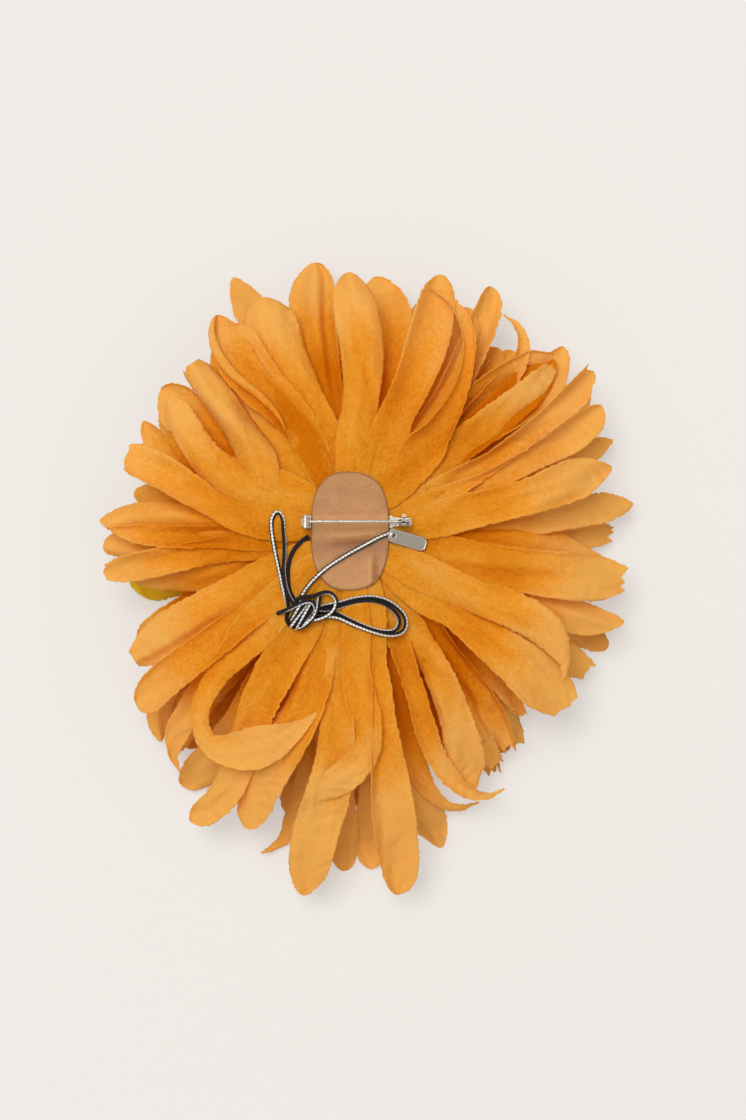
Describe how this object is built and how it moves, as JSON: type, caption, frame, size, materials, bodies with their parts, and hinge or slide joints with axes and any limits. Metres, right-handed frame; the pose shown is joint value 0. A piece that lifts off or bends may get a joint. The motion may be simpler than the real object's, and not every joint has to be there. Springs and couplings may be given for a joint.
{
  "type": "fabric flower brooch",
  "caption": "Large fabric flower brooch lying face down: layered orange petals round a leather patch with a bar pin, a knotted two-tone cord and a plain metal tag.",
  "frame": {"origin": "bottom centre of the flower's box without its cord, on the surface that the front petals rest on", "axes": "+Z out of the flower's back, where the pin is; +Y along the leather patch's length, towards the side that the pin is nearer to; +X along the pin from its hinge to its catch"},
  "size_m": [0.1902, 0.2259, 0.0519],
  "materials": {
    "orange_fabric": "satin weave",
    "golden_fabric": "satin weave",
    "leather": "smooth",
    "nickel": "polished nickel",
    "tag_metal": "satin",
    "cord": "black braid with a metallic stripe",
    "thread": "matte",
    "core_plastic": "matte",
    "stamen": "matte"
  },
  "bodies": {
    "flower": {"petals_rear_1": "orange_fabric", "petals_rear_2": "orange_fabric", "petals_rear_3": "orange_fabric", "petals_rear_4": "orange_fabric", "petals_rear_5": "orange_fabric", "petals_rear_6": "orange_fabric", "petals_second_1": "orange_fabric", "petals_second_2": "orange_fabric", "petals_second_3": "orange_fabric", "petals_second_4": "orange_fabric", "petals_second_5": "orange_fabric", "petals_second_6": "orange_fabric", "petals_third_1": "orange_fabric", "petals_third_2": "orange_fabric", "petals_third_3": "orange_fabric", "petals_third_4": "orange_fabric", "petals_third_5": "orange_fabric", "petals_third_6": "orange_fabric", "petals_third_7": "orange_fabric", "petals_third_8": "orange_fabric", "petals_fourth_1": "orange_fabric", "petals_fourth_2": "orange_fabric", "petals_fourth_3": "orange_fabric", "petals_fourth_4": "orange_fabric", "petals_fourth_5": "orange_fabric", "petals_fourth_6": "orange_fabric", "petals_fourth_7": "orange_fabric", "petals_fourth_8": "orange_fabric", "petals_golden_1": "golden_fabric", "petals_golden_2": "golden_fabric", "petals_golden_3": "golden_fabric", "petals_golden_4": "golden_fabric", "petals_golden_5": "golden_fabric", "petals_golden_6": "golden_fabric", "leather_patch": "leather", "pin_bar": "nickel", "hinge_rivet": "nickel", "tag": "tag_metal", "tag_thread": "thread", "core": "core_plastic", "seed_head": "core_plastic", "stamen_crown": "stamen", "cord_left_lead": "cord", "cord_left_loop": "cord", "cord_right_lead": "cord", "cord_inner_loop": "cord", "cord_outer_loop": "cord", "cord_small_loop": "cord", "cord_tail": "cord", "cord_knot": "cord"},
    "stem": {"pin_stem": "nickel"},
    "lock": {"catch_roller": "nickel"}
  },
  "joints": [
    {"name": "pin_hinge", "type": "hinge", "parent": "flower", "child": "stem", "pos_m": [-0.02255, 0.0199, 0.0504], "axis": [0, -1, 0], "range_deg": [0, 95]},
    {"name": "catch_turn", "type": "hinge", "parent": "flower", "child": "lock", "pos_m": [0.0116, 0.0199, 0.0504], "axis": [1, 0, 0], "range_deg": [0, 95]}
  ]
}
